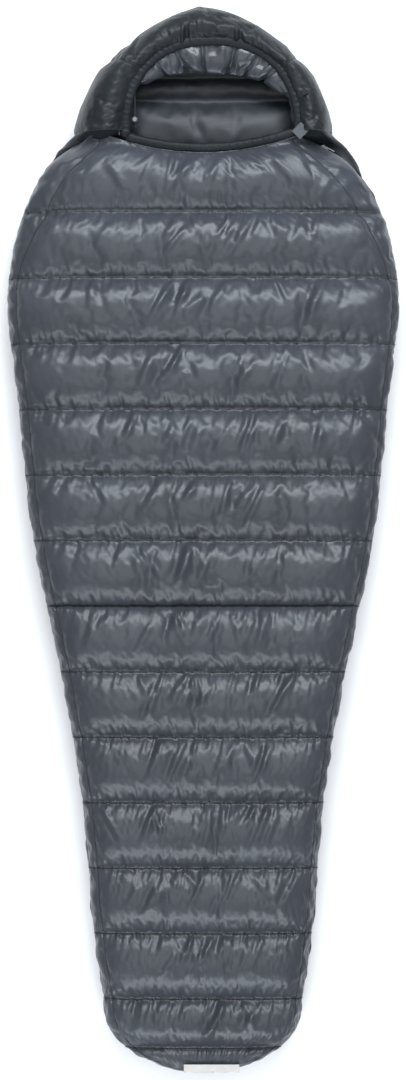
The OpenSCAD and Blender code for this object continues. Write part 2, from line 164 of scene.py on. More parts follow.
def link(name, data):
    obj = bpy.data.objects.new(name, data)
    bpy.context.scene.collection.objects.link(obj)
    return obj


def make_mesh(name, verts, faces, smooth=True):
    mesh = bpy.data.meshes.new(name)
    mesh.from_pydata([tuple(map(float, v)) for v in verts], [], faces)
    mesh.update()
    mesh.polygons.foreach_set("use_smooth", [smooth] * len(mesh.polygons))
    return link(name, mesh)


def sheet(name, grid, flip=False):
    """Mesh of a (rows, columns, 3) grid. Rows that run footwards and columns that run to +X face up."""
    r, c = grid.shape[:2]
    faces = []
    for j in range(r - 1):
        for i in range(c - 1):
            a, b = j * c + i, (j + 1) * c + i
            faces.append((a, a + 1, b + 1, b) if flip else (a, b, b + 1, a + 1))
    return make_mesh(name, grid.reshape(-1, 3), faces)


def points_of(obj):
    co = np.zeros(len(obj.data.vertices) * 3)
    obj.data.vertices.foreach_get("co", co)
    return co.reshape(-1, 3)


def set_points(obj, co):
    obj.data.vertices.foreach_set("co", co.astype(np.float32).ravel())
    obj.data.update()


def apply_modifier(obj, name):
    bpy.context.view_layer.objects.active = obj
    for o in bpy.context.selected_objects:
        o.select_set(False)
    obj.select_set(True)
    bpy.ops.object.modifier_apply(modifier=name)


def subdivide(obj, levels=1):
    m = obj.modifiers.new("subdivision", "SUBSURF")
    m.levels = levels
    m.render_levels = levels
    apply_modifier(obj, "subdivision")
    obj.data.polygons.foreach_set("use_smooth", [True] * len(obj.data.polygons))


def smooth(obj, times):
    m = obj.modifiers.new("smooth", "SMOOTH")
    m.factor = 0.5
    m.iterations = times
    apply_modifier(obj, "smooth")


def puff_cloth(obj, pinned, pressure=4.0, slack=0.08, stiffness=15.0, bending=0.05, frames=20, jitter=0.0006):
    """Inflates a sheet by cloth simulation. Pinned points hold their place and the rest has slack."""
    group = obj.vertex_groups.new(name="pin")
    group.add([int(i) for i in np.nonzero(pinned.ravel())[0]], 1.0, "REPLACE")
    co = points_of(obj)
    free = ~pinned.ravel()
    co[free, 2] += rng.normal(0, jitter, int(free.sum()))
    set_points(obj, co)
    m = obj.modifiers.new("cloth", "CLOTH")
    s = m.settings
    s.quality = 5
    s.mass = 0.05
    s.tension_stiffness = s.compression_stiffness = stiffness
    s.shear_stiffness = stiffness * 0.3
    s.bending_stiffness = bending
    s.tension_damping = s.compression_damping = s.shear_damping = 5
    s.bending_damping = 0.5
    s.air_damping = 2
    s.vertex_group_mass = "pin"
    s.pin_stiffness = 1
    s.use_pressure = True
    s.uniform_pressure_force = pressure
    s.shrink_min = -slack
    s.effector_weights.gravity = 0
    m.collision_settings.use_collision = False
    m.point_cache.frame_end = frames
    for f in range(1, frames + 1):
        bpy.context.scene.frame_set(f)
    apply_modifier(obj, "cloth")
    bpy.context.scene.frame_set(1)
    obj.vertex_groups.clear()


def ring_faces(base, rings, around):
    """Faces of a closed tube whose rings of points follow each other from vertex `base`."""
    faces = []
    for i in range(rings - 1):
        a, b = base + i * around, base + (i + 1) * around
        for j in range(around):
            k = (j + 1) % around
            faces.append((a + j, a + k, b + k, b + j))
    last = base + (rings - 1) * around
    faces.append(tuple(range(base, base + around))[::-1])
    faces.append(tuple(range(last, last + around)))
    return faces


def length_of(points):
    return float(np.sum(np.linalg.norm(np.diff(points, axis=0), axis=1)))


def resample(points, count):
    """Points at equal steps along a polyline."""
    d = np.r_[0, np.cumsum(np.linalg.norm(np.diff(points, axis=0), axis=1))]
    q = np.linspace(0, d[-1], count)
    return np.stack([np.interp(q, d, points[:, k]) for k in range(points.shape[1])], axis=1)


def smooth_line(points, per_span=12):
    """Catmull-Rom curve through a few points."""
    p = np.array(points, float)
    p = np.vstack([2 * p[0] - p[1], p, 2 * p[-1] - p[-2]])
    out = []
    for i in range(1, len(p) - 2):
        for t in np.linspace(0, 1, per_span, endpoint=False):
            out.append(0.5 * (2 * p[i] + (p[i + 1] - p[i - 1]) * t
                              + (2 * p[i - 1] - 5 * p[i] + 4 * p[i + 1] - p[i + 2]) * t**2
                              + (3 * p[i] - p[i - 1] - 3 * p[i + 1] + p[i + 2]) * t**3))
    out.append(p[-2])
    return np.array(out)


def ripple(x, lengths):
    """Smooth random waves along x with the given wavelengths, between about -1 and 1."""
    out = np.zeros_like(x)
    for length in lengths:
        shift = rng.random()
        wander = rng.uniform(0.5, 1.5)
        out += np.sin(2 * math.pi * (x / length + shift) + 1.5 * np.sin(x / length * wander))
    return out / len(lengths)


# ---- materials ----

def new_material(name):
    mat = bpy.data.materials.new(name)
    mat.use_nodes = True
    tree = mat.node_tree
    return mat, tree, tree.nodes["Principled BSDF"]


def add(tree, kind, **values):
    node = tree.nodes.new(kind)
    for key, value in values.items():
        if key in node.inputs:
            node.inputs[key].default_value = value
        else:
            setattr(node, key, value)
    return node


def weave_height(tree, coord, threads_per_m):
    """Height of a plain weave: two crossed sets of threads."""
    waves = []
    for direction in ("X", "Y"):
        w = add(tree, "ShaderNodeTexWave", wave_type="BANDS", bands_direction=direction,
                Scale=threads_per_m / 20, Distortion=0.3)
        tree.links.new(coord.outputs["Object"], w.inputs["Vector"])
        waves.append(w)
    m = add(tree, "ShaderNodeMath", operation="MAXIMUM")
    tree.links.new(waves[0].outputs["Fac"], m.inputs[0])
    tree.links.new(waves[1].outputs["Fac"], m.inputs[1])
    return m


def cloth_material(name, dark, light, roughness, crinkle=0.0005, sheen=0.25, weave=1400.0, shine=0.5):
    """Thin woven cloth: uneven dye, a weave, fine crinkles, and a nap that catches grazing light."""
    mat, tree, bsdf = new_material(name)
    links = tree.links
    coord = add(tree, "ShaderNodeTexCoord")
    tone = add(tree, "ShaderNodeTexNoise", Scale=9.0, Detail=4.0, Roughness=0.6)
    links.new(coord.outputs["Object"], tone.inputs["Vector"])
    ramp = add(tree, "ShaderNodeValToRGB")
    ramp.color_ramp.elements[0].position = 0.35
    ramp.color_ramp.elements[0].color = (*dark, 1)
    ramp.color_ramp.elements[1].position = 0.68
    ramp.color_ramp.elements[1].color = (*light, 1)
    links.new(tone.outputs["Fac"], ramp.inputs["Fac"])
    links.new(ramp.outputs["Color"], bsdf.inputs["Base Color"])
    rough = add(tree, "ShaderNodeMapRange", **{"To Min": roughness - 0.05, "To Max": roughness + 0.06})
    links.new(tone.outputs["Fac"], rough.inputs["Value"])
    links.new(rough.outputs["Result"], bsdf.inputs["Roughness"])
    weave_node = weave_height(tree, coord, weave)
    fine = add(tree, "ShaderNodeTexNoise", Scale=55.0, Detail=3.0, Roughness=0.55, Distortion=0.6)
    links.new(coord.outputs["Object"], fine.inputs["Vector"])
    bump = add(tree, "ShaderNodeBump", Strength=0.35, Distance=0.00008)
    links.new(weave_node.outputs["Value"], bump.inputs["Height"])
    bump2 = add(tree, "ShaderNodeBump", Strength=0.6, Distance=crinkle)
    links.new(fine.outputs["Fac"], bump2.inputs["Height"])
    links.new(bump.outputs["Normal"], bump2.inputs["Normal"])
    links.new(bump2.outputs["Normal"], bsdf.inputs["Normal"])
    bsdf.inputs["Specular IOR Level"].default_value = shine
    bsdf.inputs["Sheen Weight"].default_value = sheen
    bsdf.inputs["Sheen Roughness"].default_value = 0.35
    bsdf.inputs["Sheen Tint"].default_value = (0.75, 0.85, 1.0, 1)
    return mat


def ribbed_material(name, colour, roughness, ribs_per_m, direction="X", depth=0.0003):
    """Tape, cord or webbing: parallel ribs, with the colour darker in the rib hollows and lighter on the rib
    tops.
    """
    mat, tree, bsdf = new_material(name)
    coord = add(tree, "ShaderNodeTexCoord")
    w = add(tree, "ShaderNodeTexWave", wave_type="BANDS", bands_direction=direction,
            Scale=ribs_per_m / 20, Distortion=1.5)
    tree.links.new(coord.outputs["Object"], w.inputs["Vector"])
    ramp = add(tree, "ShaderNodeValToRGB")
    ramp.color_ramp.elements[0].color = (*[c * 0.7 for c in colour], 1)
    ramp.color_ramp.elements[1].color = (*[min(c * 1.35, 1) for c in colour], 1)
    tree.links.new(w.outputs["Fac"], ramp.inputs["Fac"])
    tree.links.new(ramp.outputs["Color"], bsdf.inputs["Base Color"])
    bump = add(tree, "ShaderNodeBump", Strength=0.7, Distance=depth)
    tree.links.new(w.outputs["Fac"], bump.inputs["Height"])
    tree.links.new(bump.outputs["Normal"], bsdf.inputs["Normal"])
    bsdf.inputs["Roughness"].default_value = roughness
    return mat


def hard_material(name, colour, roughness, metallic=0.0, grain=900.0, depth=0.00004):
    """Moulded plastic or metal with a fine surface grain and slightly uneven gloss."""
    mat, tree, bsdf = new_material(name)
    coord = add(tree, "ShaderNodeTexCoord")
    noise = add(tree, "ShaderNodeTexNoise", Scale=grain, Detail=2.0)
    tree.links.new(coord.outputs["Object"], noise.inputs["Vector"])
    bump = add(tree, "ShaderNodeBump", Strength=0.5, Distance=depth)
    tree.links.new(noise.outputs["Fac"], bump.inputs["Height"])
    tree.links.new(bump.outputs["Normal"], bsdf.inputs["Normal"])
    wear = add(tree, "ShaderNodeMapRange",
               **{"To Min": max(roughness - 0.08, 0.02), "To Max": roughness + 0.10})
    tree.links.new(noise.outputs["Fac"], wear.inputs["Value"])
    tree.links.new(wear.outputs["Result"], bsdf.inputs["Roughness"])
    bsdf.inputs["Base Color"].default_value = (*colour, 1)
    bsdf.inputs["Metallic"].default_value = metallic
    return mat


TOP_CLOTH = cloth_material("top_cloth", (0.032, 0.036, 0.044), (0.041, 0.046, 0.056), 0.36, sheen=0.07,
                           shine=0.36)
BOTTOM_CLOTH = cloth_material("bottom_cloth", (0.009, 0.011, 0.013), (0.014, 0.017, 0.020), 0.42, sheen=0.03,
                              shine=0.22)
LINER_CLOTH = cloth_material("liner_cloth", (0.022, 0.025, 0.031), (0.036, 0.041, 0.050), 0.32, sheen=0.05,
                             shine=0.45)
# Painted shade: the lip's liner cloth made darker and duller for the hood floor, which lies in the hood's
# shade.
LINER_CLOTH_PAINTED_SHADE = cloth_material("liner_cloth_painted_shade", (0.012, 0.014, 0.018), (0.024, 0.028, 0.034), 0.46,
                                  sheen=0.04, shine=0.30)
BINDING = cloth_material("binding", (0.007, 0.009, 0.011), (0.012, 0.014, 0.017), 0.48, sheen=0.03,
                         shine=0.14)
PIPING = cloth_material("piping", (0.08, 0.09, 0.10), (0.13, 0.14, 0.16), 0.40)
# Painted shade: the near-black thread, in thick close stitches, also stands in for the shade in each seam's
# crease.
THREAD_AND_SEAM_SHADE = ribbed_material("thread", (0.010, 0.011, 0.013), 0.7, 2500)
CORD = ribbed_material("cord", (0.018, 0.020, 0.022), 0.65, 900, "Y")
TAPE = ribbed_material("zip_tape", (0.020, 0.022, 0.025), 0.75, 1500, "Z")
COIL = hard_material("zip_coil", (0.030, 0.032, 0.035), 0.32)
PLASTIC = hard_material("lock_plastic", (0.020, 0.022, 0.024), 0.38)
DARK_METAL = hard_material("zip_metal", (0.22, 0.23, 0.25), 0.30, 0.9, 600)
BRIGHT_METAL = hard_material("button_metal", (0.16, 0.17, 0.18), 0.34, 0.9, 500)
SPRING_STEEL = hard_material("spring_steel", (0.60, 0.60, 0.62), 0.25, 1.0, 1200)
TAB_CLOTH = cloth_material("tab_cloth", (0.036, 0.041, 0.049), (0.055, 0.062, 0.073), 0.40, weave=900,
                           shine=0.35)
HOOK_CLOTH = ribbed_material("hook_cloth", (0.020, 0.022, 0.024), 0.85, 700, "X", 0.0006)
WEBBING = ribbed_material("webbing", (0.020, 0.022, 0.024), 0.7, 800, "X", 0.0004)
LABEL_CLOTH = cloth_material("label_cloth", (0.40, 0.38, 0.35), (0.58, 0.56, 0.52), 0.6, weave=1800,
                             shine=0.3)


def dress(obj, material):
    obj.data.materials.clear()
    obj.data.materials.append(material)
    return obj


# ---- top quilt ----

LEFT_COLS, MID_COLS, RIGHT_COLS = 10, 104, 15
# Inset of a panel seam down the side, its rise over the shoulder, and the Y where the rise starts
LEFT_PANEL = (0.018, 0.080, 0.50)
RIGHT_PANEL = (0.013, 0.069, 0.47)
PUCKER_HEIGHT = 0.0030
PUCKER_REACH = 0.016
PUCKER_LENGTHS = (0.0125, 0.0170, 0.0270)
SEAM_GROOVE = 0.0011     # mean depth of the groove that the thread pulls into a seam
GROOVE_SWING = 0.0016
GROOVE_LENGTHS = (0.0105, 0.0170, 0.0410)
STITCH_SHIFT = [0, -0.0012, 0.0006]    # from the middle of a seam's groove to its footward side, which catches the light, so the dark thread paints shade over that lit strip


def panel_inset(y, u, base, rise, start):
    """Distance from the outer edge to the panel seam: small down the sides, wide over the shoulders."""
    if u is None:
        return base + rise * max((y - start) / 0.26, 0)**1.3
    return max((0.045 + 0.025 * u) * math.sqrt(max(1 - u**6, 0)), 0.008)


def arch(s, flat=1.0):
    return (1 - np.minimum(np.abs(s) / flat, 1)**4)**(1 / 3)


def neck_edge(x):
    """Y of the neck edge of the top quilt, which curves up to the corners of the hood."""
    return np.minimum(NECK_Y + 0.992 * x**2, CORNER_Y)


class Row:
    """One row of a quilt: where its edges are, and how high they stand."""

    def __init__(self, y, u=None):
        self.u = u
        self.y = y if u is None else FIRST_SEAM + u * (CORNER_Y - FIRST_SEAM)
        self.right = top_half_w(self.y, BEND_R)
        self.left = top_half_w(self.y, LEFT_ARC_R)
        zipped = smoothstep((self.y - FLAP_TIP_Y + 0.02) / 0.04)
        corner = 0 if u is None else smoothstep((u - 0.93) / 0.07)
        self.z_right = mix(SEAM_Z + 0.004 + (GROOVE - 0.001) * zipped, 0.121, corner)
        self.z_left = mix(SEAM_Z + 0.004, 0.121, corner)
        self.lip_x = min(mix(self.right - 0.003, zip_x(self.y), zipped), self.right - 0.0005)
        self.lip_z = mix(SEAM_Z + 0.001 + (GROOVE - 0.001) * zipped, 0.119, corner)

    def puff(self):
        """0 on a cross seam, rising to 1 in the middle of a chamber."""
        y = self.y if self.u is None else mix(FIRST_SEAM, SEAMS[0], self.u)
        k = next(i for i in range(len(SEAMS) - 1) if y >= SEAMS[i + 1] - 1e-9)
        t = (SEAMS[k] - y) / (SEAMS[k] - SEAMS[k + 1])
        return math.sqrt(max(math.sin(math.pi * min(max(t, 0), 1)), 0))

    def place(self, s, z):
        """Points at shares s of the half-width, with the first chamber bent to the neck edge."""
        x = np.where(s > 0, s * self.right, s * self.left)
        y = np.full_like(x, self.y)
        if self.u is not None:
            y = FIRST_SEAM + self.u * (neck_edge(x) - FIRST_SEAM)
        return np.stack([x, y, z], axis=1)


def quilt_rows(first, last, cell):
    """Rows between two seams, with a flag on those that lie on a seam."""
    rows, on_seam = [], []
    for k in range(first, last):
        a, b = SEAMS[k], SEAMS[k + 1]
        n = max(3, round((a - b) / cell))
        for i in range(n):
            rows.append(Row(None, 1 - i / n) if k == 0 else Row(a + (b - a) * i / n))
            on_seam.append(i == 0)
    rows.append(Row(SEAMS[last]))
    on_seam.append(True)
    return rows, np.array(on_seam)


def top_section(row):
    s = np.sin(np.linspace(-90, 90, 481) * math.pi / 180)
    z0 = mix(row.z_left, row.z_right, np.clip(0.5 + s, 0, 1))
    neck = 0 if row.u is None else row.u**4
    h = bag_h(row.y) - SEAM_DIP * (1 - START_PUFF * row.puff()) * (1 - 0.7 * neck)
    body = row.place(s, z0 + (h - z0) * arch(s) * toe(row.y)**0.8)
    left_end = row.place(np.array([-0.994]), np.array([row.z_left - 0.003]))
    lip = np.array([[row.lip_x, row.y, row.lip_z]])
    inset_l = panel_inset(row.y, row.u, *LEFT_PANEL)
    inset_r = panel_inset(row.y, row.u, *RIGHT_PANEL)
    a = int(np.searchsorted(body[:, 0], -row.left + min(inset_l, row.left * 0.4)))
    b = int(np.searchsorted(body[:, 0], row.right - min(inset_r, row.right * 0.4)))
    left = resample(np.vstack([left_end, body[: a + 1]]), LEFT_COLS + 1)
    mid = resample(body[a: b + 1], MID_COLS + 1)
    right = resample(np.vstack([body[b:], lip]), RIGHT_COLS + 1)
    return np.vstack([left, mid[1:], right[1:]])


def seam_puckers(obj, seams):
    """Small gathers that fade away from each seam, and the seam's own uneven groove."""
    co = points_of(obj)
    for y0 in seams:
        for side in (-1, 1):
            wave = ripple(co[:, 0] + 0.25 * side * co[:, 1], PUCKER_LENGTHS)
            d = (co[:, 1] - y0) * side
            near = (d > 0) & (d < 4 * PUCKER_REACH)
            fade = np.exp(-np.maximum(d, 0) / PUCKER_REACH) * np.clip(d / 0.004, 0, 1)
            co[near, 2] += (PUCKER_HEIGHT * wave * fade)[near]
        depth = SEAM_GROOVE + GROOVE_SWING * ripple(co[:, 0], GROOVE_LENGTHS)
        co[:, 2] -= depth * np.exp(-((co[:, 1] - y0) / 0.004)**2)
    set_points(obj, co)


def drape_folds(obj, first, last):
    """Slanting creases high in each chamber but the last: a ridge with a valley beside it."""
    co = points_of(obj)
    for k in range(first, min(last, len(SEAMS) - 2)):
        top, bottom = SEAMS[k], SEAMS[k + 1]
        wide = 0.80 * float(half_w(bottom))
        room = np.clip(np.minimum(top - co[:, 1], co[:, 1] - bottom) / 0.010, 0, 1)
        for _ in range(FOLDS_PER_CHAMBER):
            x = rng.normal(0, 0.5) * wide
            y = mix(bottom, top, rng.uniform(0.55, 0.92))
            lean = math.radians(rng.normal(27, 8) * rng.choice([1, 1, 1, 1, 1, -1]))
            length = rng.uniform(0.020, 0.050)
            tall = rng.uniform(0.0014, 0.0036)
            across = (co[:, 0] - x) * math.cos(lean) - (co[:, 1] - y) * math.sin(lean)
            along = (co[:, 0] - x) * math.sin(lean) + (co[:, 1] - y) * math.cos(lean)
            d = across / rng.uniform(0.0050, 0.0090)
            shape = np.exp(-(d - 0.8)**2) - 0.8 * np.exp(-(d + 0.8)**2)
            co[:, 2] += tall * room * shape * np.exp(-(along / length)**4)
    set_points(obj, co)


stitch_lines = []
hood_stitch_lines = []


def build_top(name, first, last):
    rows, on_seam = quilt_rows(first, last, CELL)
    grid = np.array([top_section(r) for r in rows])
    pinned = np.zeros(grid.shape[:2], bool)
    pinned[on_seam] = True
    for column in (0, LEFT_COLS, LEFT_COLS + MID_COLS):
        pinned[:, column] = True
    pinned[:, -3:] = True
    grid[:, [LEFT_COLS, LEFT_COLS + MID_COLS], 2] -= 0.0015
    obj = sheet(name, grid)
    puff_cloth(obj, pinned, slack=0.035, bending=0.20)
    subdivide(obj)
    seam_puckers(obj, SEAMS[max(first, 1):min(last + 1, len(SEAMS) - 1)])
    drape_folds(obj, first, last)
    final = points_of(obj)[: grid.shape[0] * grid.shape[1]].reshape(grid.shape)
    for j in np.nonzero(on_seam)[0]:
        if first == 0 and j == 0:
            continue
        stitch_lines.append(final[j, 2:-4] + STITCH_SHIFT)
    for column in (LEFT_COLS, LEFT_COLS + MID_COLS):
        stitch_lines.append(final[:, column])
    return dress(obj, TOP_CLOTH)


def blend_fold(obj):
    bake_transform(obj)


top_upper = build_top("top_quilt_upper", 0, 7)
top_lower = build_top("top_quilt_lower", 7, len(SEAMS) - 1)


# ---- liners ----

def build_top_liner():
    rows, on_seam = quilt_rows(0, len(SEAMS) - 1, LINER_CELL)
    columns = 54
    s = np.sin(np.linspace(-90, 90, 241) * math.pi / 180)
    grid = []
    for j, row in enumerate(rows):
        z0 = mix(row.z_left - 0.003, row.lip_z, np.clip(0.5 + s, 0, 1))
        h = bag_h(row.y) * 0.75 + 0.004
        crown = (h - z0) * arch(s, 0.9) * toe(row.y)**0.8
        z = z0 + crown if j else np.full_like(s, 0.108)
        section = row.place(s * 0.99, z)
        section[-1] = (row.lip_x, row.y, row.lip_z)
        grid.append(resample(section, columns + 1))
    grid = np.array(grid)
    pinned = np.zeros(grid.shape[:2], bool)
    pinned[on_seam] = True
    pinned[:2] = True
    pinned[:, [0, 1, -1, -2]] = True
    obj = sheet("top_liner", grid, flip=True)
    puff_cloth(obj, pinned, pressure=3.0, slack=0.05)
    subdivide(obj)
    return dress(obj, LINER_CLOTH)


def build_bottom_liner():
    seams = [SEAMS[0] + 0.006] + SEAMS[1:]
    grid, on_seam = [], []
    s = np.sin(np.linspace(-90, 90, 241) * math.pi / 180)
    for k in range(len(seams) - 1):
        a, b = seams[k], seams[k + 1]
        n = max(3, round((a - b) / LINER_CELL))
        for i in range(n + (k == len(seams) - 2)):
            y = a + (b - a) * i / n
            row = Row(min(y, SEAMS[0]))
            w = min(float(half_w(y)), row.right)
            z0 = mix(SEAM_Z - 0.002, SEAM_Z - GROOVE + 0.001, np.clip(0.5 + s, 0, 1))
            z = z0 + (LINER_FLOOR_Z - z0) * arch(s, 0.9) * toe(y)**0.8
            grid.append(resample(np.stack([s * w * 0.985, np.full_like(s, y), z], axis=1), 55))
            on_seam.append(i == 0 or i == n)
    grid = np.array(grid)
    pinned = np.zeros(grid.shape[:2], bool)
    pinned[np.array(on_seam)] = True
    pinned[:, [0, 1, -1, -2]] = True
    obj = sheet("bottom_liner", grid)
    puff_cloth(obj, pinned, pressure=3.0, slack=0.06)
    subdivide(obj)
    return dress(obj, LINER_CLOTH)


top_liner = build_top_liner()
bottom_liner = build_bottom_liner()


# ---- hood outlines ----

shell_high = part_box("hood_shell")[1]
rim_low, rim_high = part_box("hood_rim_tunnel")
HOOD_AT = np.array([0.0, NAPE_Y - 0.006])
HOOD_W, HOOD_LEN = shell_high.x, shell_high.y - HOOD_AT[1]
RIM_Z = (rim_low.z + rim_high.z) / 2
RIM_R = (rim_high.z - rim_low.z) / 2
FACE_AT = np.array([(rim_low.x + rim_high.x) / 2, HOOD_AT[1] + 0.003])
FACE_W = (rim_high.x - rim_low.x) / 2 - RIM_R
FACE_LEN = rim_high.y - RIM_R - FACE_AT[1]
# Radial profiles from the rim over the crest and down to the ground: [share of the way out, height]
HOOD_PROFILE = [[0.0, 0.121], [0.10, 0.128], [0.28, 0.1395], [0.5, LOFT - 0.004], [0.78, 0.120],
                [1.0, 0.060], [0.94, 0.018], [0.80, 0.001]]
YOKE_PROFILE = [[-0.10, 0.112], [0.22, 0.138], [0.5, LOFT - 0.002], [0.78, 0.122], [1.0, 0.062],
                [0.94, 0.020], [0.72, 0.001]]
PEAK_ANGLE = 89          # degrees round the hood from the zip side
CROWN_SPREAD = 14
HOOD_SEAM_ANGLES = (40, 140)
LIP_SEAM_ANGLES = (24, 42, 59, 76, 95, 113, 131, 150, 160, 169)


def superellipse(centre, a, b, n, t):
    c, s = np.cos(t), np.sin(t)
    return np.stack([centre[0] + a * np.sign(c) * np.abs(c)**(2 / n),
                     centre[1] + b * np.sign(s) * np.abs(s)**(2 / n)], axis=-1)


def hood_edge(t):
    corner = np.exp(-((np.abs(np.cos(t)) - 0.80) / 0.13)**2)
    return superellipse(HOOD_AT, HOOD_W, HOOD_LEN, 1.45 + 0.05 * np.cos(t) + 0.27 * corner, t)


def face_edge(t):
    return superellipse(FACE_AT, FACE_W, FACE_LEN, 2.3, t)


def hood_profile(t, q_z):
    """3-D points of a radial profile, given as [share of the way out, height]."""
    a, b = face_edge(t), hood_edge(t)
    return np.array([[*(a + (b - a) * q), z] for q, z in q_z])


# ---- bottom quilt, with the yoke that rises to the hood ----

def side_profile(y, sign):
    """From the zip line, out over the edge and down to the ground, on one side."""
    radius = BEND_R if sign > 0 else LEFT_ARC_R
    w = float(half_w(y))
    top_w = top_half_w(min(y, CORNER_Y), radius)
    edge_z = SEAM_Z - (GROOVE if sign > 0 and y > FLAP_TIP_Y else 0.001)
    start_x = min(top_w, w - 0.004)
    if sign > 0 and y < SHOULDER_Y:
        start_x = min(zip_x(y), w - 0.004)
    gap = max(w - top_w, 0)
    drop = toe(y)**0.8
    floor_z = mix(edge_z - 0.003, 0.001, drop)
    low = [[start_x, edge_z], [mix(start_x, w, 0.6), edge_z + 0.25 * gap],
           [w, edge_z - 0.006], [w * 0.985, mix(edge_z, 0.030, drop)],
           [w * 0.93, mix(edge_z, 0.010, drop)], [w * 0.80, floor_z]]
    low = resample(smooth_line(low), 15)
    t_out = 0.0 if sign > 0 else math.pi
    rise = smoothstep((y - YOKE_Y) / (NAPE_Y - YOKE_Y))
    if rise <= 0:
        return low * [sign, 1]
    high = hood_profile(t_out, YOKE_PROFILE)[:, [0, 2]] * [sign, 1]
    high = resample(smooth_line(high), 15)
    return mix(low, high, rise) * [sign, 1]


def build_bottom():
    seams = [FACE_AT[1] + 0.001] + SEAMS[1:]
    grid, on_seam = [], []
    for k in range(len(seams) - 1):
        a, b = seams[k], seams[k + 1]
        n = max(3, round((a - b) / 0.009))
        for i in range(n + (k == len(seams) - 2)):
            y = a + (b - a) * i / n
            right, left = side_profile(y, 1), side_profile(y, -1)
            middle = np.linspace(right[-1], left[-1], 20)[1:-1]
            section = np.vstack([right, middle, left[::-1]])
            grid.append(np.stack([section[:, 0], np.full(len(section), y), section[:, 1]], axis=1))
            on_seam.append(i == 0 or i == n)
    grid = np.array(grid)
    on_seam = np.array(on_seam)
    body_seam = on_seam & (grid[:, 0, 1] < BEND_AT[1] + 0.1)
    outward = np.sign(grid[:, :, 0]) * np.clip(np.abs(grid[:, :, 0]) / 0.1, 0, 1)
    grid[body_seam, 2:13, 0] -= 0.004 * outward[body_seam, 2:13]
    grid[body_seam, -13:-2, 0] -= 0.004 * outward[body_seam, -13:-2]
    pinned = np.zeros(grid.shape[:2], bool)
    pinned[on_seam] = True
    pinned[:, [0, 1, -1, -2]] = True
    pinned[:, 15:-15] = True
    obj = sheet("bottom_quilt", grid)
    puff_cloth(obj, pinned, pressure=4.0, slack=0.07)
    subdivide(obj)
    co = points_of(obj)
    co[:, 2] = np.maximum(co[:, 2], 0.0006)
    set_points(obj, co)
    return dress(obj, BOTTOM_CLOTH)


bottom_quilt = build_bottom()


# ---- hood ----

def radial_seams(ts, at):
    """Columns nearest to the given angles."""
    return [int(np.argmin(np.abs(ts - a))) for a in at]


HOOD_PLEATS = [(-0.034, 0.938, 0.988), (0.069, 0.938, 0.985)]


def pleat(co, x, y0, y1):
    """Height of a sharp fold that stands on the rim and fades out towards the peak."""
    along = np.clip((co[:, 1] - y0) / (y1 - y0), 0, 1)
    tall = np.where((co[:, 1] > y0 - 0.012) & (co[:, 2] > 0.09), (1 - along)**0.7, 0)
    d = (co[:, 0] - x) / 0.0045
    return tall * (0.008 * np.exp(-(d + 0.9)**2) - 0.013 * np.exp(-(d - 0.5)**2))


def build_hood():
    columns, rows = 168, 40
    ts = np.linspace(math.radians(-1), math.radians(181), columns + 1)
    grid = []
    for t in ts:
        line = smooth_line(hood_profile(float(np.clip(t, 0, math.pi)), HOOD_PROFILE))
        grid.append(resample(line, rows + 1))
    grid = np.array(grid).transpose(1, 0, 2)
    pinned = np.zeros(grid.shape[:2], bool)
    pinned[[0, 1, -1]] = True
    pinned[:, [0, 1, -1, -2]] = True
    peak = radial_seams(ts, [math.radians(PEAK_ANGLE)])[0]
    pinned[:, peak] = True
    seam_cols = radial_seams(ts, [math.radians(a) for a in HOOD_SEAM_ANGLES])
    for c in seam_cols:
        grid[:, c, 2] -= 0.004
        pinned[:, c] = True
    outline_row = int(np.argmax(grid[:, peak, 1]))
    crown = np.abs(np.degrees(ts) - PEAK_ANGLE) < CROWN_SPREAD
    pinned[outline_row, crown] = True
    obj = sheet("hood_outer", grid, flip=False)
    puff_cloth(obj, pinned, pressure=3.0, slack=0.05, bending=0.12)
    subdivide(obj)
    co = points_of(obj)
    for x, y0, y1 in HOOD_PLEATS:
        co[:, 2] += pleat(co, x, y0, y1)
    crest = np.clip((co[:, 1] - shell_high.y) / 0.05 + 1, 0, 1)
    co[:, 1] += 0.005 * crest * np.exp(-(co[:, 0] / 0.016)**2)
    co[:, 2] = np.clip(co[:, 2], 0.0006, 0.1525)
    set_points(obj, co)
    final = co[: grid.shape[0] * grid.shape[1]].reshape(grid.shape)
    for c in [1, columns - 1] + seam_cols:
        hood_stitch_lines.append(final[2:26, c])
    return dress(obj, BOTTOM_CLOTH)


LIP_THIN = 0.004         # reach of the lip into the face opening at its two ends
LIP_SWELL = 0.053        # how much further it reaches in the middle
LIP_START, LIP_SPAN = 20, 130         # degrees between which it swells
LOCK_ROOM = 0.014        # how far the lip stands back where the hood's cord lock slides
LOCK_ANGLE = 146


def lip_reach(t):
    share = min(max((math.degrees(t) - LIP_START) / LIP_SPAN, 0), 1)
    return LIP_THIN + LIP_SWELL * max(math.sin(math.pi * share), 0)**0.7


